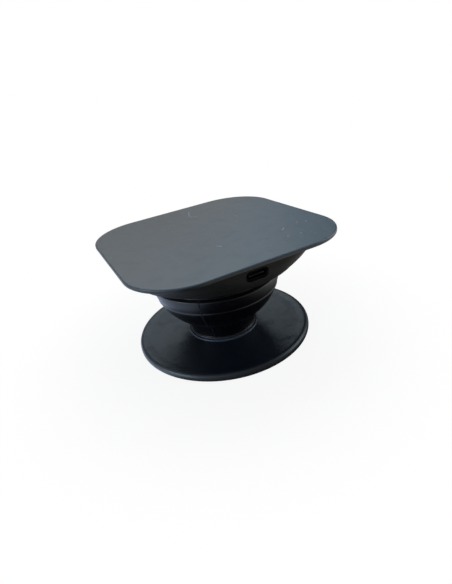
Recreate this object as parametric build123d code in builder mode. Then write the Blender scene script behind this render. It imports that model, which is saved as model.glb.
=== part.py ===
"""Collapsible phone charging stand: a rounded-square charging pad on a folding bellows and a round foot disc.

Millimetres, +Z up. The stand is modelled pulled out, on its foot disc: the origin is the centre of the disc's
underside, the pad is on top, and the pad's charging socket faces -Y.
"""
import os
from math import hypot

from build123d import *

# Overall
overall_height = 49.7
slip = 0.05  # between pieces that seat in one another

# Foot disc
disc_dia = 82.0
disc_thickness = 2.9
disc_under_round = 0.6
disc_top_round = 1.9
rim_band_width = 2.6
rim_band_height = 0.2
rim_band_slope = 2.4
collar_dia = 33.8
collar_wall = 0.9
collar_height = 0.5
collar_round = 0.4
foot_skin = 1.6  # what is left of the disc under the bellows' foot
pin_skin = 1.0  # what is left of the disc under the plug's pin

# Pad cover
cover_side = 90.0
cover_corner = 22.8
cover_thickness = 2.45
cover_edge = 1.0  # height of its outer edge; from there the underside slopes in and down to the housing
cover_top_round = 0.45
cover_under_round = 0.3
spigot_height = 1.2  # rim under the cover that drops into the housing
spigot_wall = 1.0

# Pad housing: a dish under the cover
dish_height = 10.75
dish_land = 2.25  # upright part of its wall, next to the cover
dish_rim_dia = 73.6
dish_rim_round = 0.6
dish_top_side = 79.4
dish_top_corner = 25.8
dish_wall = 2.0
dish_floor = 1.8
dish_ledge = 4.4  # width of the floor that carries the bellows' flange

# Charging socket, of the small reversible kind
port_width = 8.94
port_height = 3.26
port_corner = 1.5
port_length = 7.35
port_wall = 0.3
port_drop = 4.9  # from the cover's underside to the socket's centre
port_sink = 0.6  # from the housing's outer face to the socket's front
port_clearance = 0.5
tongue_width = 6.7
tongue_thickness = 0.7
tongue_sink = 0.9  # from the socket's front to the tongue's tip
tongue_root = 1.8  # length of the block that carries the tongue

# Bellows
flange_thickness = 1.6
fold_wall = 1.2
mouth_clearance = 0.8  # between the bellows and the housing's mouth
groove_depth = 1.2  # width of the shoulder on top of the wide ring
shoulder_height = 0.8
ring_drop = 5.7  # from the housing's underside to the wide ring's upper edge
ring_height = 7.8
ring_taper = 2.2
ring_bulge = 0.35
ring_wall = 2.0
bead_height = 0.7
bead_proud = 0.25
web_wall = 1.4
neck_height = 6.8
neck_top_dia = 35.8
neck_shoulder = 0.5  # width and height of the shoulder on top of the neck
neck_foot_dia = 30.7
neck_wall = 1.6
foot_proud = 0.8  # how far the foot's bead stands above the collar
foot_floor = 2.0
foot_bore_dia = 15.5

# Plug that holds the bellows' foot in the disc
plug_head_dia = 23.7
plug_head_thickness = 1.6
plug_head_round = 0.6
plug_pin_dia = 8.2

# Closing plate over the bellows' flange, and the circuit board staked to it
closing_thickness = 1.2
closing_inset = 0.5  # from the flange's outer edge
stake_spacing = 32.0
stake_shoulder_dia = 4.0
stake_shoulder_height = 0.4
stake_dia = 1.8
stake_proud = 0.4
board_dia = 54.0
board_thickness = 1.0
board_tab_width = 16.0
board_wall_gap = 1.4
board_clearance = 0.1

# Rib under the cover that presses the closing plate and the flange down
rib_thickness = 1.6
rib_inset = 0.5  # from the closing plate's outer edge
rib_side_gap = 1.0  # between the rib's ends and the board's tab

# Charging coil under the cover, and the ferrite sheet behind it
coil_outer_dia = 44.0
coil_inner_dia = 20.0
coil_thickness = 1.2
ferrite_dia = 50.0
ferrite_thickness = 0.8

# Heights and radii of the foot disc
disc_r = disc_dia / 2
rim_top_z = disc_thickness + rim_band_height
collar_r = collar_dia / 2
collar_bore_r = collar_r - collar_wall
collar_top_z = disc_thickness + collar_height
foot_under_z = foot_skin + slip
foot_top_z = foot_under_z + foot_floor
foot_bore_r = foot_bore_dia / 2

# Heights and radii of the pad
cover_under_z = overall_height - cover_thickness
dish_land_z = cover_under_z - dish_land
dish_bottom_z = cover_under_z - dish_height
dish_floor_z = dish_bottom_z + dish_floor
cavity_r = dish_rim_dia / 2 - dish_wall
dish_mouth_r = cavity_r - dish_ledge
flange_r = cavity_r - slip
flange_under_z = dish_floor_z + slip
flange_top_z = flange_under_z + flange_thickness
closing_r = flange_r - closing_inset
closing_under_z = flange_top_z + slip
closing_top_z = closing_under_z + closing_thickness
board_under_z = closing_top_z + stake_shoulder_height
board_top_z = board_under_z + board_thickness
coil_top_z = cover_under_z - slip
ferrite_top_z = coil_top_z - coil_thickness - slip

# The socket's place: on the middle of the front side, a little behind the dish's sloping outer face
port_z = cover_under_z - port_drop
dish_lean = (dish_top_side - dish_rim_dia) / 2 / (dish_height - dish_land)
port_face_y = dish_rim_dia / 2 + dish_lean * (port_z - dish_bottom_z)
port_front_y = port_face_y - port_sink
port_back_y = port_front_y - port_length
board_front_y = port_face_y - dish_wall - board_wall_gap

# Heights and radii of the bellows
ring_top_z = dish_bottom_z - ring_drop
ring_bottom_z = ring_top_z - ring_height
ring_top_r = dish_mouth_r - mouth_clearance
ring_bottom_r = ring_top_r - ring_taper
fold_r = dish_mouth_r - mouth_clearance
groove_r = ring_top_r - groove_depth
groove_z = ring_top_z + shoulder_height
foot_r = collar_bore_r - slip
foot_bead_z = collar_top_z + foot_proud
neck_foot_r = neck_foot_dia / 2
neck_top_r = neck_top_dia / 2
neck_top_z = foot_bead_z + neck_height
web_foot_r = neck_top_r - neck_shoulder
web_foot_z = neck_top_z + neck_shoulder
web_run = ring_bottom_r - web_foot_r
web_rise = ring_bottom_z - web_foot_z
web_length = hypot(web_run, web_rise)
web_inside_r = web_foot_r - web_wall * web_rise / web_length
web_inside_z = web_foot_z + web_wall * web_run / web_length


def rounded_square(side, corner):
    """A square outline with round corners; a corner of half the side makes it a circle in eight edges."""
    return RectangleRounded(side, side, min(corner, side / 2 - slip / 2))


# Foot disc: turned section with a low band round its rim, a collar for the bellows and a boss for the plug
with BuildPart() as foot_disc:
    with BuildSketch(Plane.XZ):
        with BuildLine():
            Polyline(
                (0, 0),
                (disc_r, 0),
                (disc_r, rim_top_z),
                (disc_r - rim_band_width, rim_top_z),
                (disc_r - rim_band_width - rim_band_slope, disc_thickness),
                (collar_r, disc_thickness),
                (collar_r, collar_top_z),
                (collar_bore_r, collar_top_z),
                (collar_bore_r, foot_skin),
                (foot_bore_r - slip, foot_skin),
                (foot_bore_r - slip, foot_top_z),
                (plug_pin_dia / 2 + slip, foot_top_z),
                (plug_pin_dia / 2 + slip, pin_skin),
                (0, pin_skin),
                close=True,
            )
        make_face()
    revolve(axis=Axis.Z)
    fillet(foot_disc.edges().filter_by(GeomType.CIRCLE).group_by(Axis.Z)[0], disc_under_round)
    outer_edges = foot_disc.edges().filter_by(GeomType.CIRCLE).group_by(SortBy.RADIUS)[-1]
    fillet(outer_edges.sort_by(Axis.Z)[-1], disc_top_round)
    collar_edges = foot_disc.edges().filter_by(GeomType.CIRCLE).filter_by_position(
        Axis.Z, collar_top_z - slip, collar_top_z + slip
    )
    fillet(collar_edges, collar_round)

# Bellows: one soft moulding; a thin upper fold, a bulged wide ring, a conical web and a narrow neck
with BuildPart() as bellows:
    with BuildSketch(Plane.XZ):
        with BuildLine():
            upper_fold = Polyline(
                (fold_r - fold_wall, flange_top_z),
                (flange_r, flange_top_z),
                (flange_r, flange_under_z),
                (fold_r, flange_under_z),
                (groove_r, groove_z),
                (ring_top_r, ring_top_z),
            )
            ring_outside = SagittaArc(
                upper_fold @ 1,
                (ring_bottom_r, ring_bottom_z + bead_height),
                ring_bulge,
            )
            web_and_neck = Polyline(
                ring_outside @ 1,
                (ring_bottom_r + bead_proud, ring_bottom_z + bead_height),
                (ring_bottom_r + bead_proud, ring_bottom_z),
                (ring_bottom_r, ring_bottom_z),
                (web_foot_r, web_foot_z),
                (neck_top_r, neck_top_z),
                (neck_foot_r, foot_bead_z),
                (foot_r, foot_bead_z),
                (foot_r, foot_under_z),
                (foot_bore_r, foot_under_z),
                (foot_bore_r, foot_top_z),
                (neck_foot_r - neck_wall, foot_top_z),
                (neck_foot_r - neck_wall, foot_bead_z),
                (web_inside_r, web_inside_z),
                (ring_bottom_r - ring_wall, ring_bottom_z),
            )
            ring_inside = SagittaArc(
                web_and_neck @ 1,
                (ring_top_r - ring_wall, ring_top_z),
                -ring_bulge,
            )
            Polyline(
                ring_inside @ 1,
                (groove_r - fold_wall, groove_z),
                (fold_r - fold_wall, flange_under_z),
                (fold_r - fold_wall, flange_top_z),
            )
        make_face()
    revolve(axis=Axis.Z)

# Plug: a low button inside the bellows whose pin is bonded into the disc's boss over the bellows' foot
plug_seat_z = foot_top_z + slip
with BuildPart() as foot_plug:
    with BuildSketch(Plane.XY.offset(plug_seat_z)):
        Circle(plug_head_dia / 2)
    extrude(amount=plug_head_thickness)
    fillet(foot_plug.edges().group_by(Axis.Z)[-1], plug_head_round)
    with BuildSketch(Plane.XY.offset(plug_seat_z)):
        Circle(plug_pin_dia / 2)
    extrude(amount=-(plug_seat_z - pin_skin - slip))

# Pad housing: round at its rim and a rounded square under the cover, with a ledge that carries the flange
with BuildPart() as pad_housing:
    with BuildSketch(Plane.XY.offset(dish_bottom_z)):
        rounded_square(dish_rim_dia, dish_rim_dia / 2)
    with BuildSketch(Plane.XY.offset(dish_land_z)):
        rounded_square(dish_top_side, dish_top_corner)
    loft()
    fillet(pad_housing.edges().group_by(Axis.Z)[0], dish_rim_round)
    with BuildSketch(Plane.XY.offset(dish_land_z)):
        rounded_square(dish_top_side, dish_top_corner)
    extrude(amount=dish_land)
    with BuildSketch(Plane.XY.offset(dish_floor_z)):
        rounded_square(2 * cavity_r, cavity_r)
    with BuildSketch(Plane.XY.offset(dish_land_z)):
        rounded_square(dish_top_side - 2 * dish_wall, dish_top_corner - dish_wall)
    loft(mode=Mode.SUBTRACT)
    with BuildSketch(Plane.XY.offset(dish_land_z)):
        rounded_square(dish_top_side - 2 * dish_wall, dish_top_corner - dish_wall)
    extrude(amount=dish_land, mode=Mode.SUBTRACT)
    with BuildSketch(Plane.XY.offset(dish_bottom_z)):
        Circle(dish_mouth_r)
    extrude(amount=dish_floor, mode=Mode.SUBTRACT)
    with BuildSketch(Plane.XZ):
        with Locations((0, port_z)):
            RectangleRounded(
                port_width + 2 * port_clearance,
                port_height + 2 * port_clearance,
                port_corner + port_clearance,
            )
    extrude(amount=dish_top_side, mode=Mode.SUBTRACT)

# Closing plate: lies on the bellows' flange and shuts the pad's underside; four stakes carry the board
with BuildPart() as closing_plate:
    with BuildSketch(Plane.XY.offset(closing_under_z)):
        Circle(closing_r)
        with Locations((0, -closing_r)):
            Rectangle(
                port_width + 2 * (port_clearance + board_clearance),
                2 * (closing_r - port_back_y + port_clearance),
                mode=Mode.SUBTRACT,
            )
    extrude(amount=closing_thickness)
    with BuildSketch(Plane.XY.offset(closing_top_z)):
        with GridLocations(stake_spacing, stake_spacing, 2, 2):
            Circle(stake_shoulder_dia / 2)
    extrude(amount=stake_shoulder_height)
    with BuildSketch(Plane.XY.offset(board_under_z)):
        with GridLocations(stake_spacing, stake_spacing, 2, 2):
            Circle(stake_dia / 2)
    extrude(amount=board_thickness + stake_proud)

# Circuit board: a round board with a tab that reaches to the socket and holds it in a notch
with BuildPart() as circuit_board:
    with BuildSketch(Plane.XY.offset(board_under_z)):
        Circle(board_dia / 2)
        with Locations((0, -board_front_y / 2)):
            Rectangle(board_tab_width, board_front_y)
        with Locations((0, -board_front_y)):
            Rectangle(
                port_width + 2 * board_clearance,
                2 * (board_front_y - port_back_y + board_clearance),
                mode=Mode.SUBTRACT,
            )
        with GridLocations(stake_spacing, stake_spacing, 2, 2):
            Circle(stake_dia / 2 + board_clearance, mode=Mode.SUBTRACT)
    extrude(amount=board_thickness)

# Socket shell: a drawn metal sleeve, open towards the front and closed behind
with BuildPart() as socket_shell:
    with BuildSketch(Plane.XZ.offset(port_back_y)):
        with Locations((0, port_z)):
            RectangleRounded(port_width, port_height, port_corner)
    extrude(amount=port_length)
    with BuildSketch(Plane.XZ.offset(port_back_y + port_wall)):
        with Locations((0, port_z)):
            RectangleRounded(
                port_width - 2 * port_wall,
                port_height - 2 * port_wall,
                port_corner - port_wall,
            )
    extrude(amount=port_length - port_wall, mode=Mode.SUBTRACT)

# Socket tongue: an insulating block at the back of the shell with the flat contact tongue in front of it
tongue_back_y = port_back_y + port_wall + slip
with BuildPart() as socket_tongue:
    with BuildSketch(Plane.XZ.offset(tongue_back_y)):
        with Locations((0, port_z)):
            RectangleRounded(
                port_width - 2 * (port_wall + slip),
                port_height - 2 * (port_wall + slip),
                port_corner - port_wall - slip,
            )
    extrude(amount=tongue_root)
    with BuildSketch(Plane.XZ.offset(tongue_back_y)):
        with Locations((0, port_z)):
            Rectangle(tongue_width, tongue_thickness)
    extrude(amount=port_front_y - tongue_sink - tongue_back_y)
    fillet(socket_tongue.edges().group_by(Axis.Y)[0].filter_by(Axis.Z), tongue_thickness / 2)

# Charging coil: a flat winding bonded under the cover
with BuildPart() as charging_coil:
    with BuildSketch(Plane.XY.offset(coil_top_z)):
        Circle(coil_outer_dia / 2)
        Circle(coil_inner_dia / 2, mode=Mode.SUBTRACT)
    extrude(amount=-coil_thickness)

# Ferrite sheet: a thin disc bonded behind the coil
with BuildPart() as ferrite_sheet:
    with BuildSketch(Plane.XY.offset(ferrite_top_z)):
        Circle(ferrite_dia / 2)
    extrude(amount=-ferrite_thickness)

# Pad cover: a thin lip that thickens towards the housing, a spigot that drops into it, and a pressing rib
rib_outer_r = closing_r - rib_inset
rib_under_z = closing_top_z + slip
spigot_side = dish_top_side - 2 * (dish_wall + slip)
spigot_inside = spigot_side - 2 * spigot_wall
spigot_corner = dish_top_corner - dish_wall - slip
with BuildPart() as pad_cover:
    with BuildSketch(Plane.XY.offset(cover_under_z)):
        rounded_square(dish_top_side, dish_top_corner)
    with BuildSketch(Plane.XY.offset(overall_height - cover_edge)):
        rounded_square(cover_side, cover_corner)
    loft()
    with BuildSketch(Plane.XY.offset(overall_height - cover_edge)):
        rounded_square(cover_side, cover_corner)
    extrude(amount=cover_edge)
    fillet(pad_cover.edges().group_by(Axis.Z)[-1], cover_top_round)
    edge_lines = pad_cover.edges().filter_by_position(
        Axis.Z, overall_height - cover_edge - slip, overall_height - cover_edge + slip
    )
    fillet(edge_lines, cover_under_round)
    with BuildSketch(Plane.XY.offset(cover_under_z)):
        rounded_square(spigot_side, spigot_corner)
        RectangleRounded(spigot_inside, spigot_inside, spigot_corner - spigot_wall, mode=Mode.SUBTRACT)
    extrude(amount=-spigot_height)
    with BuildSketch(Plane.XY.offset(rib_under_z)):
        Circle(rib_outer_r)
        Circle(rib_outer_r - rib_thickness, mode=Mode.SUBTRACT)
        with Locations((0, -rib_outer_r)):
            Rectangle(board_tab_width + 2 * rib_side_gap, rib_outer_r, mode=Mode.SUBTRACT)
    extrude(amount=cover_under_z - rib_under_z)

os.makedirs("parts", exist_ok=True)
for name, piece in (
    ("foot_disc", foot_disc),
    ("bellows", bellows),
    ("foot_plug", foot_plug),
    ("pad_housing", pad_housing),
    ("closing_plate", closing_plate),
    ("circuit_board", circuit_board),
    ("socket_shell", socket_shell),
    ("socket_tongue", socket_tongue),
    ("ferrite_sheet", ferrite_sheet),
    ("charging_coil", charging_coil),
    ("pad_cover", pad_cover),
):
    piece.part.label = name
    export_step(piece.part, f"parts/{name}.step")
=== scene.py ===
"""Looks of a collapsible phone charging stand: charging pad on top, folding bellows, round foot disc."""
from math import cos, hypot, pi, radians, sin

import bmesh
import bpy
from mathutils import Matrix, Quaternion, Vector


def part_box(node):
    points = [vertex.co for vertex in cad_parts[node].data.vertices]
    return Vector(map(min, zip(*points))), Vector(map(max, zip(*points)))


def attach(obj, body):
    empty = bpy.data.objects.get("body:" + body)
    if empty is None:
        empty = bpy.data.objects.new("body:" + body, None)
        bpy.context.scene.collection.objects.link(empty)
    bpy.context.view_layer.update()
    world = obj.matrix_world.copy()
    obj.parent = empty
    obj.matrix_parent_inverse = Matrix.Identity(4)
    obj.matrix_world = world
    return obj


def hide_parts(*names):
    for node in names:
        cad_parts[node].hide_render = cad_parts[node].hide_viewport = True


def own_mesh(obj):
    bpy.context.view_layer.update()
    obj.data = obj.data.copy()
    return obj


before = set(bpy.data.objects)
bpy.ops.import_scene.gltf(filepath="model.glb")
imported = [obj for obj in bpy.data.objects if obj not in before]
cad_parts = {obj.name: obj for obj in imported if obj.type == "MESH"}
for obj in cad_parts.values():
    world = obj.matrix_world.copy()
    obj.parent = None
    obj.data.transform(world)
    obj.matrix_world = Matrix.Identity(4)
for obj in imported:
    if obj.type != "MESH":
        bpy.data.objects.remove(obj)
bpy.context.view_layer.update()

# Foot disc
# The round disc that the stand rests on: one satin plastic moulding with a low band round its rim.
# A thin collar in the middle takes the foot of the bellows, and a boss inside it takes the plug.
mm = 0.001
disc_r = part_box("foot_disc")[1].x / mm
disc_top = 2.9
rim_band_width = 2.6
rim_band_slope = 2.4
rim_top = 3.1
collar_r = 16.9
collar_bore_r = 16.0
collar_top = 3.4
foot_seat = 1.6
boss_r = 7.7
boss_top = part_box("foot_disc")[1].z / mm
pin_hole_r = 4.15
pin_hole_floor = 1.0
disc_under_round = 0.6
disc_top_round = 1.9
rim_band_round = 12.0
collar_foot_round = 0.15
collar_round = 0.4
rim_pale_start = 1.6
rim_pale_full = 0.4
collar_highlight_edge = 0.3
sharp_angle = radians(35)


class Signal:
    """One socket of a node tree. Arithmetic on it adds Math nodes, and node() adds any other node."""

    def __init__(self, tree, socket=None):
        self.tree = tree
        self.socket = socket

    def node(self, kind, settings=None, inputs=None, output=0):
        """Adds a node, sets its settings, gives its sockets values or links, and returns one output."""
        node = self.tree.nodes.new(kind)
        for key, value in (settings or {}).items():
            setattr(node, key, value)
        for key, value in (inputs or {}).items():
            if isinstance(value, Signal):
                self.tree.links.new(value.socket, node.inputs[key])
            else:
                node.inputs[key].default_value = value
        return Signal(self.tree, node.outputs[output]) if len(node.outputs) else None

    def math(self, operation, first, second=0.0):
        """Adds a Math node on one or two values."""
        return self.node("ShaderNodeMath", {"operation": operation}, {0: first, 1: second})

    def __add__(self, other):
        return self.math("ADD", self, other)

    def __radd__(self, other):
        return self.math("ADD", other, self)

    def __sub__(self, other):
        return self.math("SUBTRACT", self, other)

    def __rsub__(self, other):
        return self.math("SUBTRACT", other, self)

    def __mul__(self, other):
        return self.math("MULTIPLY", self, other)

    def __rmul__(self, other):
        return self.math("MULTIPLY", other, self)

    def __truediv__(self, other):
        return self.math("DIVIDE", self, other)

    def __rtruediv__(self, other):
        return self.math("DIVIDE", other, self)

    def rise(self, low, high):
        """From 0 below low to 1 above high, with soft ends."""
        ends = {"Value": self, "From Min": low, "From Max": high}
        return self.node("ShaderNodeMapRange", {"interpolation_type": "SMOOTHSTEP"}, ends)

    def blend(self, dark, light):
        """A colour that goes from dark to light as this signal goes from 0 to 1."""
        ends = {0: self, 6: dark, 7: light}
        return self.node("ShaderNodeMix", {"data_type": "RGBA"}, ends, output=2)

    def axis(self, name):
        """One coordinate of a vector."""
        return self.node("ShaderNodeSeparateXYZ", None, {0: self}, output=name)

    def length(self):
        """The length of a vector."""
        return self.node("ShaderNodeVectorMath", {"operation": "LENGTH"}, {0: self}, output="Value")


def geometry_tree(name, sizes):
    """A Geometry Nodes tree with a named input for each size, and the signals that its inputs give."""
    tree = bpy.data.node_groups.new(name, "GeometryNodeTree")
    tree.interface.new_socket("Geometry", in_out="OUTPUT", socket_type="NodeSocketGeometry")
    kinds = {"Geometry": "Geometry", **sizes, "Finish": "Material"}
    for label, kind in kinds.items():
        tree.interface.new_socket(label, in_out="INPUT", socket_type="NodeSocket" + kind)
    entry = tree.nodes.new("NodeGroupInput")
    return tree, {label: Signal(tree, entry.outputs[label]) for label in kinds}


def end_tree(shape, finish):
    """Closes a tree: instances become real, the faces are shaded smooth and get the finish."""
    real = shape.node("GeometryNodeRealizeInstances", None, {"Geometry": shape})
    smooth = shape.node("GeometryNodeSetShadeSmooth", None, {"Geometry": real})
    finished = shape.node("GeometryNodeSetMaterial", None, {"Geometry": smooth, "Material": finish})
    shape.node("NodeGroupOutput", None, {"Geometry": finished})


def applied(piece):
    """The mesh of a piece with its modifiers worked in."""
    graph = bpy.context.evaluated_depsgraph_get()
    return bpy.data.meshes.new_from_object(piece.evaluated_get(graph))


def grown_mesh(tree, source, values):
    """Runs a tree with these input values on a source object, and gives the result as a plain mesh."""
    modifier = source.modifiers.new(tree.name, "NODES")
    modifier.node_group = tree
    for item in tree.interface.items_tree:
        if item.in_out == "INPUT" and item.name in values:
            modifier[item.identifier] = values[item.name]
    mesh = applied(source)
    bpy.data.objects.remove(source)
    if mesh.materials[0] is None:
        mesh.materials.pop(index=0)
    return mesh


def new_object(name, data):
    """A new object at the origin, linked to the scene."""
    piece = bpy.data.objects.new(name, data)
    bpy.context.scene.collection.objects.link(piece)
    return piece


def drawn_line(name, points, closed):
    """A flat drawing of (radius, height, corner round or half width) points in millimetres, as a curve."""
    curve = bpy.data.curves.new(name, "CURVE")
    curve.dimensions = "3D"
    line = curve.splines.new("POLY")
    line.points.add(len(points) - 1)
    line.use_cyclic_u = closed
    for point, (across, height, stored) in zip(line.points, points):
        point.co = (across * mm, height * mm, 0, 1)
        point.radius = stored * mm
    return new_object(name, curve)


def turning_tree():
    """Turns a drawn section about the Z axis; each corner is rounded by the radius stored on its point."""
    sizes = {"Steps": "Int", "Corner facets": "Int", "Path radius": "Float"}
    tree, size = geometry_tree("turned section", sizes)
    start = Signal(tree)
    corner_round = start.node("GeometryNodeInputRadius")
    corners = {
        "Curve": size["Geometry"],
        "Radius": corner_round,
        "Count": size["Corner facets"],
        "Limit Radius": True,
    }
    section = start.node("GeometryNodeFilletCurve", {"mode": "POLY"}, corners)
    shift = start.node("ShaderNodeCombineXYZ", None, {"X": 0 - size["Path radius"]})
    placing = {"Geometry": section, "Translation": shift, "Scale": (1, -1, 1)}
    section = start.node("GeometryNodeTransform", None, placing)
    ring = {"Resolution": size["Steps"], "Radius": size["Path radius"]}
    path = start.node("GeometryNodeCurvePrimitiveCircle", {"mode": "RADIUS"}, ring)
    path = start.node("GeometryNodeSetCurveNormal", {"mode": "Z_UP"}, {"Curve": path})
    skin = start.node("GeometryNodeCurveToMesh", None, {"Curve": path, "Profile Curve": section})
    skin = start.node("GeometryNodeMergeByDistance", None, {"Geometry": skin, "Distance": 0.001 * mm})
    end_tree(skin, size["Finish"])
    return tree


turned = turning_tree()


def turned_mesh(name, section, closed, finish):
    """A turned piece's mesh, from its section."""
    sizes = {"Steps": 256, "Corner facets": 6, "Path radius": 10 * mm, "Finish": finish}
    return grown_mesh(turned, drawn_line(name, section, closed), sizes)


def shaded_evenly(piece):
    """Keeps real corners sharp and lets large faces lead the shading, so that flats look flat."""
    shell = bmesh.new()
    shell.from_mesh(piece.data)
    bmesh.ops.recalc_face_normals(shell, faces=shell.faces)
    shell.to_mesh(piece.data)
    shell.free()
    piece.data.set_sharp_from_angle(angle=sharp_angle)
    leaning = piece.modifiers.new("even shading", "WEIGHTED_NORMAL")
    leaning.keep_sharp = True
    mesh = applied(piece)
    piece.modifiers.clear()
    piece.data = mesh


def new_finish(name):
    """An empty material, and the signal that its nodes start from."""
    finish = bpy.data.materials.new(name)
    finish.use_nodes = True
    finish.node_tree.nodes.clear()
    return finish, Signal(finish.node_tree)


def mottle(start, grain, detail=4.0):
    """Soft irregular spots of about this size in millimetres, from 0 to 1, fixed to the piece."""
    place = start.node("ShaderNodeTexCoord", output="Object")
    spots = {"Vector": place, "Scale": 1 / (grain * mm), "Detail": detail}
    return start.node("ShaderNodeTexNoise", None, spots)


def grained(start, grain, depth):
    """The fine grain of a moulded surface, as a normal."""
    height = mottle(start, grain, detail=2.0)
    relief = {"Strength": 0.35, "Distance": depth * mm, "Height": height}
    return start.node("ShaderNodeBump", None, relief)


def cover_with(start, sockets):
    """Ends a material in one Principled surface with these values and links."""
    shader = start.node("ShaderNodeBsdfPrincipled", None, sockets)
    start.node("ShaderNodeOutputMaterial", None, {"Surface": shader})


def disc_finish():
    """Satin blue-black plastic, a little cloudy; its left is painted paler as painted light, its rim is
    paler, and its collar is painted pale blue as a highlight.
    """
    finish, start = new_finish("foot disc satin plastic")
    place = start.node("ShaderNodeTexCoord", output="Object")
    flat = start.node("ShaderNodeVectorMath", {"operation": "MULTIPLY"}, {0: place, 1: (1, 1, 0)})
    from_axis = flat.length()
    rim = from_axis.rise((disc_r - rim_pale_start) * mm, (disc_r - rim_pale_full) * mm)
    # Painted highlight: the collar is coloured pale blue to stand for the light lines along its edges.
    collar = 1 - from_axis.rise(collar_r * mm, (collar_r + collar_highlight_edge) * mm)
    cloud = mottle(start, 14.0)
    handled = mottle(start, 5.0, detail=6.0).rise(0.45, 0.75)
    across = place.axis("X")
    along = place.axis("Y")
    # Painted light: the disc is coloured paler towards its left and back-left, where the lamps light it.
    painted_light_gradient = (0.4 * along - 0.9 * across).rise(0, 36 * mm)
    plain = cloud.blend((0.003, 0.005, 0.009, 1), (0.006, 0.009, 0.014, 1))
    painted_lit_disc = painted_light_gradient.blend(plain, (0.018, 0.021, 0.026, 1))
    # The rim is paler all round; its left part is paler still, as painted light.
    rubbed = rim.blend(painted_lit_disc, painted_light_gradient.blend((0.030, 0.031, 0.032, 1), (0.046, 0.046, 0.044, 1)))
    cover_with(start, {
        "Base Color": collar.blend(rubbed, (0.042, 0.047, 0.064, 1)),
        "Roughness": 0.36 + 0.10 * handled + 0.04 * cloud,
        "Specular IOR Level": 0.33,
        "Specular Tint": (0.68, 0.88, 1.0, 1),
        "Normal": grained(start, 0.25, 0.006),
    })
    return finish


disc_section = (
    (0, 0, 0),
    (disc_r, 0, disc_under_round),
    (disc_r, rim_top, disc_top_round),
    (disc_r - rim_band_width, rim_top, rim_band_round),
    (disc_r - rim_band_width - rim_band_slope, disc_top, rim_band_round),
    (collar_r, disc_top, collar_foot_round),
    (collar_r, collar_top, collar_round),
    (collar_bore_r, collar_top, collar_round),
    (collar_bore_r, foot_seat, 0),
    (boss_r, foot_seat, 0),
    (boss_r, boss_top, 0),
    (pin_hole_r, boss_top, 0),
    (pin_hole_r, pin_hole_floor, 0),
    (0, pin_hole_floor, 0),
)
disc_mesh = turned_mesh("foot disc section", disc_section, False, disc_finish())
foot_disc = new_object("foot_disc_shell", disc_mesh)
shaded_evenly(foot_disc)
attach(foot_disc, "foot")
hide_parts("foot_disc")

# Bellows
# One soft elastomer moulding between the disc and the pad: a flange held in the pad, a thin upper fold,
# a bulged wide ring with a bead at its lower edge, a conical web, a narrow neck and a foot in the collar.
flange_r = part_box("bellows")[1].x / mm
flange_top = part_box("bellows")[1].z / mm
flange_thickness = 1.6
flange_under = flange_top - flange_thickness
fold_r = 29.6
fold_wall = 1.2
groove_r = 27.8
groove_z = 31.1
ring_top_r = 29.3
ring_top_z = 30.1
ring_bottom_r = 27.9
ring_bottom_z = 23.5
ring_wall = 2.0
ring_bulge = 0.2
bead_height = 0.8
bead_proud = 0.06
neck_foot_r = 15.35
neck_wall = 1.6
foot_bead_z = 4.2
foot_r = 15.95
foot_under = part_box("bellows")[0].z / mm
foot_top = 3.65
foot_bore_r = 7.75
web_foot_r = 17.9
web_foot_z = 11.0
web_wall = 1.4
web_bulge = 1.2
fold_round = 0.3
groove_round = 0.3
ring_top_round = 0.6
ring_bottom_round = 0.12
bead_round = 0.3
neck_top_round = 1.2
neck_foot_round = 0.3
foot_edge_round = 0.4
inside_round = 0.5
web_inside_round = 0.8
seam_azimuth = -130.0
seam_half_width = 0.20
seam_knee_half_width = 0.45
seam_end_half_width = 0.30
foot_highlight_edge = 0.2


def bulged(start, end, sag, steps=8):
    """Points between start and end that stand out from the straight line by sag at the middle."""
    run, rise = end[0] - start[0], end[1] - start[1]
    length = hypot(run, rise)
    points = []
    for step in range(1, steps):
        t = step / steps
        out = 4 * sag * t * (1 - t)
        across = start[0] + run * t - out * rise / length
        height = start[1] + rise * t + out * run / length
        points.append((across, height, 0))
    return points


def thread_along(line, facets):
    """A closed round thread along a curve, with the half width that is stored on each point."""
    ring = {"Resolution": facets, "Radius": 1.0}
    section = line.node("GeometryNodeCurvePrimitiveCircle", {"mode": "RADIUS"}, ring)
    half_width = line.node("GeometryNodeInputRadius")
    sweep = {"Curve": line, "Profile Curve": section, "Scale": half_width, "Fill Caps": True}
    return line.node("GeometryNodeCurveToMesh", None, sweep)


def seam_tree():
    """Lays a thin thread along a drawn line, stands the line up and turns it to two opposite sides."""
    tree, size = geometry_tree("mould seam", {"Azimuth": "Float"})
    start = Signal(tree)
    line = thread_along(size["Geometry"], 8)
    sides = start.node("GeometryNodeJoinGeometry")
    for side in (0, pi):
        turn = start.node("ShaderNodeCombineXYZ", None, {"X": pi / 2, "Z": size["Azimuth"] + side})
        stood = start.node("GeometryNodeTransform", None, {"Geometry": line, "Rotation": turn})
        tree.links.new(stood.socket, sides.socket.node.inputs[0])
    end_tree(sides, size["Finish"])
    return tree


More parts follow.
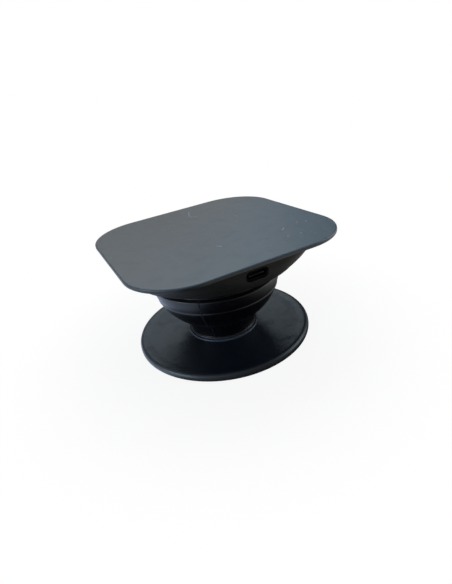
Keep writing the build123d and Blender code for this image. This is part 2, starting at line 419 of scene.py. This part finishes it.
def bellows_finish():
    """Near-black semi-gloss elastomer with a faint bloom, dull along its seams, with a pale blue band
    painted round its foot as a highlight.
    """
    finish, start = new_finish("bellows elastomer")
    place = start.node("ShaderNodeTexCoord", output="Object")
    across_seams = (sin(radians(seam_azimuth)), -cos(radians(seam_azimuth)), 0)
    both = {0: place, 1: across_seams}
    off_seam = start.node("ShaderNodeVectorMath", {"operation": "DOT_PRODUCT"}, both, output="Value")
    seam = 1 - start.math("ABSOLUTE", off_seam).rise(0.25 * mm, 0.5 * mm)
    cloud = mottle(start, 9.0)
    bloom = mottle(start, 2.2, detail=6.0).rise(0.5, 0.8)
    height = place.axis("Z")
    # Painted highlight: below the foot bead the elastomer is coloured pale blue to stand for the light line
    # on its edge.
    above_foot = height.rise((foot_bead_z - foot_highlight_edge) * mm, (foot_bead_z + foot_highlight_edge) * mm)
    plain = (cloud * 0.6 + bloom * 0.4).blend((0.001, 0.001, 0.002, 1), (0.004, 0.004, 0.005, 1))
    cover_with(start, {
        "Base Color": above_foot.blend((0.022, 0.025, 0.036, 1), plain),
        "Roughness": 0.34 + 0.12 * bloom + 0.05 * cloud + 0.45 * seam,
        "Specular IOR Level": 0.3,
        "Normal": grained(start, 0.4, 0.02),
    })
    return finish


bead_top = (ring_bottom_r, ring_bottom_z + bead_height)
outer_line = (
    (groove_r, groove_z, groove_round),
    (ring_top_r, ring_top_z, ring_top_round),
    *bulged((ring_top_r, ring_top_z), bead_top, ring_bulge),
    (*bead_top, bead_round),
    (ring_bottom_r + bead_proud, ring_bottom_z + bead_height / 2, bead_round),
    (ring_bottom_r, ring_bottom_z, ring_bottom_round),
    *bulged((ring_bottom_r, ring_bottom_z), (web_foot_r, web_foot_z), web_bulge),
    (web_foot_r, web_foot_z, neck_top_round),
    (neck_foot_r, foot_bead_z, neck_foot_round),
)
web_length = hypot(ring_bottom_r - web_foot_r, ring_bottom_z - web_foot_z)
web_inside_r = web_foot_r - web_wall * (ring_bottom_z - web_foot_z) / web_length
web_inside_z = web_foot_z + web_wall * (ring_bottom_r - web_foot_r) / web_length
ring_inside_bottom = (ring_bottom_r - ring_wall, ring_bottom_z)
ring_inside_top = (ring_top_r - ring_wall, ring_top_z)
bellows_section = (
    (fold_r - fold_wall, flange_top, 0),
    (flange_r, flange_top, 0),
    (flange_r, flange_under, 0),
    (fold_r, flange_under, fold_round),
    *outer_line,
    (foot_r, foot_bead_z, foot_edge_round),
    (foot_r, foot_under, 0),
    (foot_bore_r, foot_under, 0),
    (foot_bore_r, foot_top, 0),
    (neck_foot_r - neck_wall, foot_top, 0),
    (neck_foot_r - neck_wall, foot_bead_z, neck_foot_round),
    (web_inside_r, web_inside_z, web_inside_round),
    (*ring_inside_bottom, inside_round),
    *bulged(ring_inside_bottom, ring_inside_top, -ring_bulge),
    (*ring_inside_top, fold_round),
    (groove_r - fold_wall, groove_z, inside_round),
    (fold_r - fold_wall, flange_under, fold_round),
)
elastomer = bellows_finish()
seam_line = [(across, height, seam_half_width) for across, height, _ in outer_line]
seam_line[-2] = (web_foot_r, web_foot_z, seam_knee_half_width)
seam_line[-1] = (neck_foot_r, foot_bead_z, seam_end_half_width)
seam_values = {"Azimuth": radians(seam_azimuth), "Finish": elastomer}
seam_mesh = grown_mesh(seam_tree(), drawn_line("seam line", seam_line, False), seam_values)
bellows = new_object("bellows_moulding", turned_mesh("bellows section", bellows_section, True, elastomer))
moulding = bmesh.new()
moulding.from_mesh(bellows.data)
moulding.from_mesh(seam_mesh)
moulding.to_mesh(bellows.data)
moulding.free()
shaded_evenly(bellows)
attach(bellows, "foot")
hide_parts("bellows")
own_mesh(bellows)

# Foot plug and closing plate
# Plain unpainted mouldings inside: a button that holds the bellows' foot in the disc's boss, and the
# round plate that lies on the bellows' flange, shuts the pad from below and carries the circuit board.


def plain_moulding_finish():
    """Plain dark moulded plastic with flow marks."""
    finish, start = new_finish("plain moulded plastic")
    flow = mottle(start, 6.0)
    cover_with(start, {
        "Base Color": flow.blend((0.030, 0.030, 0.033, 1), (0.040, 0.040, 0.043, 1)),
        "Roughness": 0.45 + 0.1 * flow,
        "Normal": grained(start, 0.3, 0.02),
    })
    return finish


def dress(node, finish):
    """Gives a piece of the frame its finish."""
    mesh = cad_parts[node].data
    mesh.materials.clear()
    mesh.materials.append(finish)


plain_moulding = plain_moulding_finish()
dress("foot_plug", plain_moulding)
dress("closing_plate", plain_moulding)

# Circuit board, ferrite sheet and charging coil
# Inside the pad: a solder-masked board on the closing plate's stakes, and under the cover a flat
# copper winding bonded to a dull ferrite sheet.
wire_pitch = 1.1


def board_finish():
    """Green solder mask over fine copper tracks."""
    finish, start = new_finish("solder mask")
    place = start.node("ShaderNodeTexCoord", output="Object")
    bands = {"Vector": place, "Scale": 160.0, "Distortion": 3.0}
    tracks = start.node("ShaderNodeTexWave", None, bands, output=1)
    cover_with(start, {
        "Base Color": tracks.rise(0.75, 0.85).blend((0.006, 0.035, 0.018, 1), (0.015, 0.075, 0.035, 1)),
        "Roughness": 0.35 + 0.1 * mottle(start, 3.0),
    })
    return finish


def ferrite_finish():
    """Dull dark sintered ferrite."""
    finish, start = new_finish("sintered ferrite")
    speck = mottle(start, 0.8, detail=6.0)
    cover_with(start, {
        "Base Color": speck.blend((0.025, 0.024, 0.023, 1), (0.055, 0.052, 0.050, 1)),
        "Roughness": 0.6 + 0.2 * speck,
        "Normal": grained(start, 0.5, 0.05),
    })
    return finish


def coil_finish():
    """Enamelled copper wire wound in flat rings."""
    finish, start = new_finish("enamelled copper winding")
    place = start.node("ShaderNodeTexCoord", output="Object")
    turn = start.math("FRACT", place.length() / (wire_pitch * mm))
    gap = start.math("ABSOLUTE", turn - 0.5).rise(0.38, 0.48)
    cover_with(start, {
        "Base Color": gap.blend((0.42, 0.17, 0.06, 1), (0.10, 0.035, 0.012, 1)),
        "Metallic": 0.9 - 0.5 * gap,
        "Roughness": 0.32 + 0.2 * gap,
    })
    return finish


dress("circuit_board", board_finish())
dress("ferrite_sheet", ferrite_finish())
dress("charging_coil", coil_finish())

# Pad housing
# The dish under the cover, one matte plastic moulding: round at its rim, a rounded square at the cover,
# with a ledge that holds the bellows' flange and a slot in the front wall for the charging socket.
dish_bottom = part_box("pad_housing")[0].z / mm
dish_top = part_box("pad_housing")[1].z / mm
dish_tuck = 0.9
dish_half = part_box("pad_housing")[1].x / mm - dish_tuck
dish_corner = 26.0
dish_land = 3.0
dish_bow = 0.7
dish_rim_r = 37.6
dish_rim_round = 1.0
dish_wall = 2.0
dish_floor = 1.8
dish_mouth_r = 30.4
slot_width = 9.94
slot_height = 4.26
slot_corner = 2.0
slot_z = 42.35
slot_depths = (33.0, 45.0)


def square_ring(half, corner, height, steps=20):
    """Points of a rounded square at this height; a corner as large as the half side makes it round."""
    points = []
    for quarter, (x, y) in enumerate(((1, 1), (-1, 1), (-1, -1), (1, -1))):
        for step in range(steps + 1):
            angle = (quarter + step / steps) * pi / 2
            across = x * (half - corner) + corner * cos(angle)
            along = y * (half - corner) + corner * sin(angle)
            points.append(Vector((across, along, height)) * mm)
    return points


def skinned(name, rings, closed):
    """A mesh that joins rings of points in order; open ends are filled from a point in their middle."""
    shell = bmesh.new()
    corners = [[shell.verts.new(point) for point in ring] for ring in rings]
    pairs = list(zip(corners, corners[1:]))
    if closed:
        pairs.append((corners[-1], corners[0]))
    else:
        for ring in (corners[0], corners[-1]):
            middle = shell.verts.new(sum((v.co for v in ring), Vector()) / len(ring))
            for a, b in zip(ring, ring[1:] + ring[:1]):
                shell.faces.new((a, b, middle))
    for lower, upper in pairs:
        for i in range(len(lower)):
            j = (i + 1) % len(lower)
            shell.faces.new((lower[i], lower[j], upper[j], upper[i]))
    bmesh.ops.remove_doubles(shell, verts=shell.verts, dist=0.002 * mm)
    bmesh.ops.recalc_face_normals(shell, faces=shell.faces)
    for face in shell.faces:
        face.smooth = True
    mesh = bpy.data.meshes.new(name)
    shell.to_mesh(mesh)
    shell.free()
    return mesh


def between(first, last, steps):
    """Ring sizes from first to last, evenly spaced, with first left out."""
    return [tuple(a + (b - a) * s / steps for a, b in zip(first, last)) for s in range(1, steps + 1)]


def bowed(first, last, sag, steps):
    """Ring sizes from first to last, with first left out, that stand out by sag half-way."""
    rings = []
    for step, (half, corner, height) in enumerate(between(first, last, steps), 1):
        out = 4 * sag * (step / steps) * (1 - step / steps)
        rings.append((half + out, corner + out, height))
    return rings


def housing_finish():
    """Matte black-grey plastic with a fine spark-eroded grain."""
    finish, start = new_finish("pad housing matte plastic")
    cloud = mottle(start, 10.0)
    cover_with(start, {
        "Base Color": cloud.blend((0.014, 0.014, 0.012, 1), (0.019, 0.018, 0.016, 1)),
        "Roughness": 0.50 + 0.08 * cloud,
        "Specular IOR Level": 0.10,
        "Normal": grained(start, 0.22, 0.03),
    })
    return finish


def quarter_round(centre, radius, start, end, steps=5):
    """Offsets (out, up) along an arc about a centre, from one angle in degrees to another."""
    angles = [radians(start + (end - start) * s / steps) for s in range(steps + 1)]
    return [(centre[0] + radius * cos(a), centre[1] + radius * sin(a)) for a in angles]


def cut_away(piece, cutter_mesh):
    """Takes a closed mesh's space out of a piece."""
    cutter = new_object("cutter", cutter_mesh)
    cut = piece.modifiers.new("cut", "BOOLEAN")
    cut.operation = "DIFFERENCE"
    cut.solver = "EXACT"
    cut.object = cutter
    mesh = applied(piece)
    piece.modifiers.clear()
    piece.data = mesh
    bpy.data.objects.remove(cutter)


rim_centre = (dish_rim_r - dish_rim_round, dish_bottom + dish_rim_round)
rim_arc = quarter_round(rim_centre, dish_rim_round, -90, -15)
land_z = dish_top - dish_land
outside = [(r, r, z) for r, z in rim_arc]
outside += bowed(outside[-1], (dish_half, dish_corner, land_z), dish_bow, 10)
outside += [(dish_half, dish_corner, dish_top)]
inner_half = dish_half - dish_wall
inner_corner = dish_corner - dish_wall
ledge_z = dish_bottom + dish_floor
cavity_r = dish_rim_r - dish_wall
inside = [(inner_half, inner_corner, dish_top), (inner_half, inner_corner, land_z)]
inside += between(inside[-1], (cavity_r, cavity_r, ledge_z), 6)
inside += [(dish_mouth_r, dish_mouth_r, ledge_z), (dish_mouth_r, dish_mouth_r, dish_bottom)]
dish_rings = [square_ring(*ring) for ring in outside + inside]
pad_housing = new_object("pad_housing_dish", skinned("dish", dish_rings, True))
slot_stretch = slot_width / 2 - slot_height / 2
slot_rings = []
for depth in slot_depths:
    ring = []
    for point in square_ring(slot_height / 2, slot_corner, 0):
        across = point.x + (slot_stretch if point.x > 0 else -slot_stretch) * mm
        ring.append(Vector((across, -depth * mm, point.y + slot_z * mm)))
    slot_rings.append(ring)
cut_away(pad_housing, skinned("slot", slot_rings, False))
pad_housing.data.materials.clear()
pad_housing.data.materials.append(housing_finish())
shaded_evenly(pad_housing)
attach(pad_housing, "pad")
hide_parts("pad_housing")

# Charging socket
# A drawn sleeve of dark plated steel behind the slot, with a moulded tongue inside it that carries
# a row of gilt contacts on each face. The tongue is drawn out to the sleeve's front, as in the photo.
tongue_thickness = 0.7
tongue_tip_depth = 0.7
tongue_tip = -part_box("socket_tongue")[0].y / mm
tongue_reach = 0.9
contact_count = 12
contact_pitch = 0.5
contact_width = 0.3
contact_length = 2.6
contact_height = 0.06
contact_setback = 0.4


def socket_finish():
    """Dark plated steel, drawn lengthwise."""
    finish, start = new_finish("dark plated steel")
    place = start.node("ShaderNodeTexCoord", output="Object")
    drawn = start.node("ShaderNodeMapping", None, {"Vector": place, "Scale": (6000, 300, 6000)})
    lines = start.node("ShaderNodeTexNoise", None, {"Vector": drawn, "Scale": 1.0})
    cover_with(start, {
        "Base Color": lines.blend((0.003, 0.003, 0.004, 1), (0.006, 0.006, 0.007, 1)),
        "Metallic": 1.0,
        "Roughness": 0.30 + 0.12 * lines,
    })
    return finish


def tongue_finish():
    """Dark moulded insulator, slightly chalky."""
    finish, start = new_finish("moulded insulator")
    chalk = mottle(start, 0.6)
    cover_with(start, {
        "Base Color": chalk.blend((0.008, 0.008, 0.008, 1), (0.013, 0.013, 0.013, 1)),
        "Roughness": 0.5 + 0.1 * chalk,
        "Specular IOR Level": 0.2,
    })
    return finish


def contact_finish():
    """Gilt contacts, scuffed by plugs."""
    finish, start = new_finish("gilt contact")
    scuff = mottle(start, 0.3)
    cover_with(start, {
        "Base Color": scuff.blend((0.28, 0.19, 0.07, 1), (0.40, 0.29, 0.12, 1)),
        "Metallic": 1.0,
        "Roughness": 0.3 + 0.2 * scuff,
    })
    return finish


def contact_tree():
    """A row of flat contacts along X, repeated on the upper and lower face of the tongue."""
    sizes = {
        "Count": "Int",
        "Pitch": "Float",
        "Contact": "Vector",
        "Upper face": "Vector",
        "Lower face": "Vector",
    }
    tree, size = geometry_tree("socket contacts", sizes)
    start = Signal(tree)
    contact = start.node("GeometryNodeMeshCube", None, {"Size": size["Contact"]})
    faces = start.node("GeometryNodeJoinGeometry")
    for face in ("Upper face", "Lower face"):
        step = start.node("ShaderNodeCombineXYZ", None, {"X": size["Pitch"]})
        line = {"Count": size["Count"], "Start Location": size[face], "Offset": step}
        points = start.node("GeometryNodeMeshLine", {"mode": "OFFSET"}, line)
        row = start.node("GeometryNodeInstanceOnPoints", None, {"Points": points, "Instance": contact})
        tree.links.new(row.socket, faces.socket.node.inputs[0])
    end_tree(faces, size["Finish"])
    return tree


dress("socket_shell", socket_finish())
block = bmesh.new()
block.from_mesh(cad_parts["socket_tongue"].data)
bmesh.ops.remove_doubles(block, verts=block.verts, dist=0.002 * mm)
# Only the points near the tip move, so the block behind them keeps its place.
for corner in block.verts:
    if corner.co.y < (tongue_tip_depth - tongue_tip) * mm:
        corner.co.y -= tongue_reach * mm
tongue_mesh = bpy.data.meshes.new("socket tongue")
block.to_mesh(tongue_mesh)
block.free()
tongue_mesh.materials.append(tongue_finish())
tongue_mesh.set_sharp_from_angle(angle=sharp_angle)
socket_tongue = new_object("socket_tongue_block", tongue_mesh)
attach(socket_tongue, "pad")
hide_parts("socket_tongue")
row_start_x = -contact_pitch * (contact_count - 1) / 2
contact_y = -tongue_tip + contact_setback + contact_length / 2
face_up = (tongue_thickness + contact_height) / 2
contact_sizes = {
    "Count": contact_count,
    "Pitch": contact_pitch * mm,
    "Contact": Vector((contact_width, contact_length, contact_height)) * mm,
    "Upper face": Vector((row_start_x, contact_y, slot_z + face_up)) * mm,
    "Lower face": Vector((row_start_x, contact_y, slot_z - face_up)) * mm,
    "Finish": contact_finish(),
}
contact_source = new_object("contact source", bpy.data.meshes.new("contact source"))
contacts = new_object("socket_contacts", grown_mesh(contact_tree(), contact_source, contact_sizes))
contacts.data.set_sharp_from_angle(angle=sharp_angle)
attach(contacts, "pad")

# Pad cover
# The charging face: a soft-matte plastic moulding with a thin lip, bonded to the housing. Underneath it
# has a spigot that drops into the housing and a rib that presses the closing plate down.
cover_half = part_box("pad_cover")[1].x / mm
cover_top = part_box("pad_cover")[1].z / mm
cover_under = dish_top
cover_corner = 22.8
cover_edge = 1.6
cover_top_round = 0.7
cover_under_round = 0.3
spigot_gap = 0.05
spigot_height = 1.2
spigot_wall = 1.0
rib_outer_r = 33.75
rib_thickness = 1.6
rib_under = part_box("pad_cover")[0].z / mm
rib_gap = 18.0
gap_past_rib = 0.3
gap_below_rib = 1.0


def cover_finish():
    """Black plastic; its upper face is paler blue-grey, partly a film of dust and partly painted sheen,
    with a painted reflection that shifts its tint across the face, and rubbed patches, fine scratches and
    dust.
    """
    finish, start = new_finish("pad cover soft-matte plastic")
    place = start.node("ShaderNodeTexCoord", output="Object")
    cloud = mottle(start, 22.0)
    rubbed = mottle(start, 7.0, detail=6.0).rise(0.45, 0.75)
    dust = mottle(start, 0.55, detail=1.0).rise(0.72, 0.80)
    scratch = 0.0
    for turn, stretch in ((0.5, 700), (1.9, 620), (2.7, 840)):
        lay = {"Vector": place, "Rotation": (0, 0, turn), "Scale": (stretch, 28, 28)}
        laid = start.node("ShaderNodeMapping", None, lay)
        lines = start.node("ShaderNodeTexNoise", None, {"Vector": laid, "Scale": 1.0, "Detail": 1.0})
        scratch = lines.rise(0.73, 0.78) + scratch
    marks = start.math("MINIMUM", dust * 0.35 + scratch * 0.25, 1.0)
    across = place.axis("X")
    along = place.axis("Y")
    # Painted reflection and sheen: the upper face's tint and lightness change from front to back and from
    # left to right.
    painted_light_gradient = (along - across + 20 * mm * cloud).rise(-45 * mm, 65 * mm)
    near_dust_and_sheen = painted_light_gradient.blend((0.067, 0.098, 0.122, 1), (0.089, 0.094, 0.097, 1))
    far_dust_and_sheen = painted_light_gradient.blend((0.079, 0.115, 0.143, 1), (0.128, 0.120, 0.111, 1))
    dust_and_sheen = across.rise(-20 * mm, 45 * mm).blend(near_dust_and_sheen, far_dust_and_sheen)
    marked_dust_and_sheen = marks.blend(dust_and_sheen, (0.16, 0.17, 0.18, 1))
    height = place.axis("Z")
    # Painted sheen: the upper face is much paler than the black sides, partly a dust film and partly
    # painted sheen.
    upper = height.rise((cover_top - cover_top_round) * mm, cover_top * mm)
    cover_with(start, {
        "Base Color": upper.blend((0.004, 0.004, 0.003, 1), marked_dust_and_sheen),
        "Roughness": 0.40 + 0.08 * rubbed + 0.04 * cloud,
        "Specular IOR Level": 0.38,
        "Normal": grained(start, 0.25, 0.02),
    })
    return finish


def lip(out, up):
    """A ring of the cover at this height; out is measured from the middle to the flat side."""
    return (out, cover_corner - (cover_half - out), up)


top_centre = (cover_half - cover_top_round, cover_top - cover_top_round)
under_centre = (cover_half - cover_under_round, cover_top - cover_edge + cover_under_round)
edge = [lip(*place) for place in quarter_round(top_centre, cover_top_round, 90, 0)]
edge += [lip(*place) for place in quarter_round(under_centre, cover_under_round, 0, -70)]
spigot_half = inner_half - spigot_gap
spigot_corner = inner_corner - spigot_gap
spigot_under = cover_under - spigot_height
rib_inner_r = rib_outer_r - rib_thickness
underside = between(edge[-1], (dish_half, dish_corner, cover_under), 4)
underside += [(spigot_half, spigot_corner, cover_under), (spigot_half, spigot_corner, spigot_under)]
spigot_inner = (spigot_half - spigot_wall, spigot_corner - spigot_wall)
underside += [(*spigot_inner, spigot_under), (*spigot_inner, cover_under)]
underside += [(rib_outer_r, rib_outer_r, cover_under), (rib_outer_r, rib_outer_r, rib_under)]
underside += [(rib_inner_r, rib_inner_r, rib_under), (rib_inner_r, rib_inner_r, cover_under)]
cover_rings = [square_ring(*ring) for ring in edge + underside]
pad_cover = new_object("pad_cover_shell", skinned("cover", cover_rings, False))
gap_half = rib_gap / 2
gap_front = -rib_outer_r - gap_past_rib
gap_back = -rib_outer_r / 2
gap_corners = ((-gap_half, gap_front), (gap_half, gap_front), (gap_half, gap_back), (-gap_half, gap_back))
gap_heights = (rib_under - gap_below_rib, cover_under)
gap_rings = [[Vector((x, y, z)) * mm for x, y in gap_corners] for z in gap_heights]
cut_away(pad_cover, skinned("rib gap", gap_rings, False))
pad_cover.data.materials.append(cover_finish())
shaded_evenly(pad_cover)
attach(pad_cover, "pad")
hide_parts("pad_cover")

# Dust and lint on the cover
# Loose specks that have settled on the charging face, and a few longer fibres and flakes, drawn
# about where the photo shows them. They lie on the cover and move with the pad.
dust_side = 74.0
dust_density = 26000.0
dust_seed = 4
speck_r = 0.2
lint_flatness = 0.2


def dust_tree():
    """Flat specks scattered over a square, each with its own size and turn."""
    sizes = {"Side": "Float", "Density": "Float", "Speck": "Float", "Seed": "Int", "Height": "Float"}
    tree, size = geometry_tree("settled dust", sizes)
    start = Signal(tree)
    patch = start.node("GeometryNodeMeshGrid", None, {"Size X": size["Side"], "Size Y": size["Side"]})
    lift = start.node("ShaderNodeCombineXYZ", None, {"Z": size["Height"]})
    patch = start.node("GeometryNodeTransform", None, {"Geometry": patch, "Translation": lift})
    place = start.node("GeometryNodeInputPosition")
    across = place.axis("X")
    thick = size["Density"] * (0.5 + 1.5 * across.rise(0.0, size["Side"] / 2))
    spread = {"Mesh": patch, "Density": thick, "Seed": size["Seed"]}
    points = start.node("GeometryNodeDistributePointsOnFaces", None, spread)
    speck = start.node("GeometryNodeMeshIcoSphere", None, {"Radius": size["Speck"], "Subdivisions": 1})
    span = {"Min": (0.3, 0.3, 0.1), "Max": (1.6, 1.0, 0.25), "Seed": size["Seed"]}
    shape = start.node("FunctionNodeRandomValue", {"data_type": "FLOAT_VECTOR"}, span)
    spin = {"Max": (0, 0, 2 * pi), "Seed": size["Seed"] + 1}
    turn = start.node("FunctionNodeRandomValue", {"data_type": "FLOAT_VECTOR"}, spin)
    spot = {"Points": points, "Instance": speck, "Scale": shape, "Rotation": turn}
    specks = start.node("GeometryNodeInstanceOnPoints", None, spot)
    end_tree(specks, size["Finish"])
    return tree


def dust_finish():
    """Pale grey household dust."""
    finish, start = new_finish("settled dust")
    shade = mottle(start, 4.0)
    cover_with(start, {
        "Base Color": shade.blend((0.18, 0.20, 0.23, 1), (0.38, 0.42, 0.46, 1)),
        "Roughness": 0.9,
    })
    return finish


pale_dust = dust_finish()
dust_source = new_object("dust source", bpy.data.meshes.new("dust source"))
dust_sizes = {
    "Side": dust_side * mm,
    "Density": dust_density,
    "Speck": speck_r * mm,
    "Seed": dust_seed,
    "Height": cover_top * mm,
    "Finish": pale_dust,
}
dust = new_object("cover_dust", grown_mesh(dust_tree(), dust_source, dust_sizes))
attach(dust, "pad")


def lint_tree():
    """Rounds drawn strokes into smooth threads that lie on the cover, each as wide as its points say."""
    tree, size = geometry_tree("lint", {"Flatness": "Float", "Height": "Float"})
    start = Signal(tree)
    strokes = {"Curve": size["Geometry"]}
    smooth = start.node("GeometryNodeCurveSplineType", {"spline_type": "CATMULL_ROM"}, strokes)
    lint = thread_along(smooth, 6)
    flat = start.node("ShaderNodeCombineXYZ", None, {"X": 1.0, "Y": 1.0, "Z": size["Flatness"]})
    lift = start.node("ShaderNodeCombineXYZ", None, {"Z": size["Height"]})
    laid = {"Geometry": lint, "Translation": lift, "Scale": flat}
    lint = start.node("GeometryNodeTransform", None, laid)
    end_tree(lint, size["Finish"])
    return tree


lint_strokes = (
    (0.16, (5.9, 35.8), (4.2, 31.5), (3.3, 28.7), (3.9, 26.4), (6.2, 24.8)),
    (0.30, (-5.6, -18.8), (-4.9, -20.2), (-4.4, -21.3)),
    (0.26, (24.2, -22.4), (23.0, -23.4), (22.0, -24.1)),
    (0.30, (10.7, 25.0), (11.1, 25.5)),
    (0.40, (18.7, 8.6), (19.1, 9.1)),
    (0.25, (14.6, 0.3), (14.8, 0.8)),
    (0.32, (35.1, -18.9), (35.5, -18.4)),
    (0.32, (35.0, -23.1), (35.4, -22.5)),
    (0.28, (31.8, -21.0), (32.2, -20.5)),
    (0.34, (24.8, -32.9), (25.2, -32.3)),
    (0.26, (19.5, -31.6), (19.9, -31.1)),
    (0.28, (-41.0, 14.2), (-40.8, 14.8)),
    (0.28, (-42.9, 2.6), (-42.7, 3.2)),
)
lint_curve = bpy.data.curves.new("lint strokes", "CURVE")
lint_curve.dimensions = "3D"
for half_width, *places in lint_strokes:
    stroke = lint_curve.splines.new("POLY")
    stroke.points.add(len(places) - 1)
    for point, (across, along) in zip(stroke.points, places):
        point.co = (across * mm, along * mm, 0, 1)
        point.radius = half_width * mm
lint_sizes = {"Flatness": lint_flatness, "Height": cover_top * mm, "Finish": pale_dust}
lint_source = new_object("lint strokes", lint_curve)
lint = new_object("cover_lint", grown_mesh(lint_tree(), lint_source, lint_sizes))
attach(lint, "pad")

# Stage
# A pale floor and a white surround, broad soft lamps, and a camera at the photograph's viewing angle.
# The stand mirrors a dark floor with daylight to its left and right, as the photo's bellows does.
camera_place = Vector((-0.06491, -0.15326, 0.10545))
camera_aim = Vector((-0.00131, -0.01155, 0.02450))
camera_roll = -8.73
camera_lens = 24.466
floor_side = 4.0
floor_z = -0.0001
lamp_aim = Vector((0, 0, 0.025))


def pale_floor():
    """A pale floor that looks white to the camera and still shows the shadow."""
    finish, start = new_finish("pale floor")
    grain = mottle(start, 30.0)
    seen = start.node("ShaderNodeLightPath", output="Is Camera Ray")
    pale = grain.blend((0.72, 0.73, 0.74, 1), (0.76, 0.77, 0.78, 1))
    shade = seen.blend((0.05, 0.05, 0.05, 1), pale)
    matte = start.node("ShaderNodeBsdfDiffuse", None, {"Color": shade})
    white = start.node("ShaderNodeEmission", None, {"Color": (1, 1, 1, 1), "Strength": 1.0})
    place = start.node("ShaderNodeTexCoord", output="Object")
    from_stand = place.length()
    glow = 0.90 + 0.10 * from_stand.rise(0.045, 0.11)
    floor = start.node("ShaderNodeMixShader", None, {0: seen * glow, 1: matte, 2: white})
    across = place.axis("X")
    along = place.axis("Y")
    left = (0.45 * along - 0.9 * across).rise(0.018, 0.030)
    right = (0.9 * across - 0.45 * along).rise(0.036, 0.095)
    daylight = left.blend((0.015, 0.015, 0.02, 1), (1.0, 1.2, 1.6, 1))
    daylight = right.blend(daylight, (1.35, 1.35, 1.35, 1))
    mirrored = start.node("ShaderNodeLightPath", output="Is Glossy Ray")
    bounced = start.node("ShaderNodeLightPath", output="Is Diffuse Ray")
    daylit = start.node("ShaderNodeEmission", None, {"Color": daylight, "Strength": 1.0})
    floor = start.node("ShaderNodeMixShader", None, {0: mirrored + 0.7 * bounced, 1: floor, 2: daylit})
    start.node("ShaderNodeOutputMaterial", None, {"Surface": floor})
    return finish


floor_mesh = bpy.data.meshes.new("floor")
floor_half = floor_side / 2
floor_signs = ((-1, -1), (1, -1), (1, 1), (-1, 1))
floor_corners = [(x * floor_half, y * floor_half, floor_z) for x, y in floor_signs]
floor_mesh.from_pydata(floor_corners, [], [(0, 1, 2, 3)])
floor = new_object("floor", floor_mesh)
floor_mesh.materials.append(pale_floor())

world = bpy.data.worlds.new("studio")
world.use_nodes = True
world.node_tree.nodes.clear()
sky = Signal(world.node_tree)
seen = sky.node("ShaderNodeLightPath", output="Is Camera Ray")
room = sky.node("ShaderNodeBackground", None, {"Color": (0.80, 0.90, 1.0, 1), "Strength": 0.06})
backdrop = sky.node("ShaderNodeBackground", None, {"Color": (1, 1, 1, 1), "Strength": 1.0})
surround = sky.node("ShaderNodeMixShader", None, {0: seen, 1: room, 2: backdrop})
sky.node("ShaderNodeOutputWorld", None, {"Surface": surround})
bpy.context.scene.world = world


def soft_lamp(name, place, size, power, colour):
    """A square soft box that faces the stand."""
    light = bpy.data.lights.new(name, "AREA")
    light.size = size
    light.energy = power
    light.color = colour
    lamp = new_object(name, light)
    lamp.location = place
    lamp.rotation_euler = (lamp_aim - lamp.location).to_track_quat("-Z", "Y").to_euler()


soft_lamp("ceiling lamp", Vector((0.085, 0.40, 0.55)), 0.6, 2.9, (0.90, 0.96, 1.0))
soft_lamp("front lamp", Vector((-0.42, -0.44, 0.38)), 0.5, 0.5, (0.74, 0.86, 1.0))
soft_lamp("window lamp", Vector((-0.60, -0.05, 0.14)), 0.35, 3.0, (0.80, 0.89, 1.0))
soft_lamp("side lamp", Vector((0.52, -0.16, 0.24)), 0.35, 1.6, (0.95, 0.97, 1.0))

camera_data = bpy.data.cameras.new("camera")
camera_data.lens = camera_lens
camera_data.sensor_width = 36.0
camera_data.clip_start = 0.01
camera = new_object("camera", camera_data)
camera.location = camera_place
aim = (camera_aim - camera_place).to_track_quat("-Z", "Y")
camera.rotation_mode = "QUATERNION"
camera.rotation_quaternion = aim @ Quaternion((0, 0, 1), radians(camera_roll))
scene = bpy.context.scene
scene.camera = camera
scene.view_settings.view_transform = "Standard"
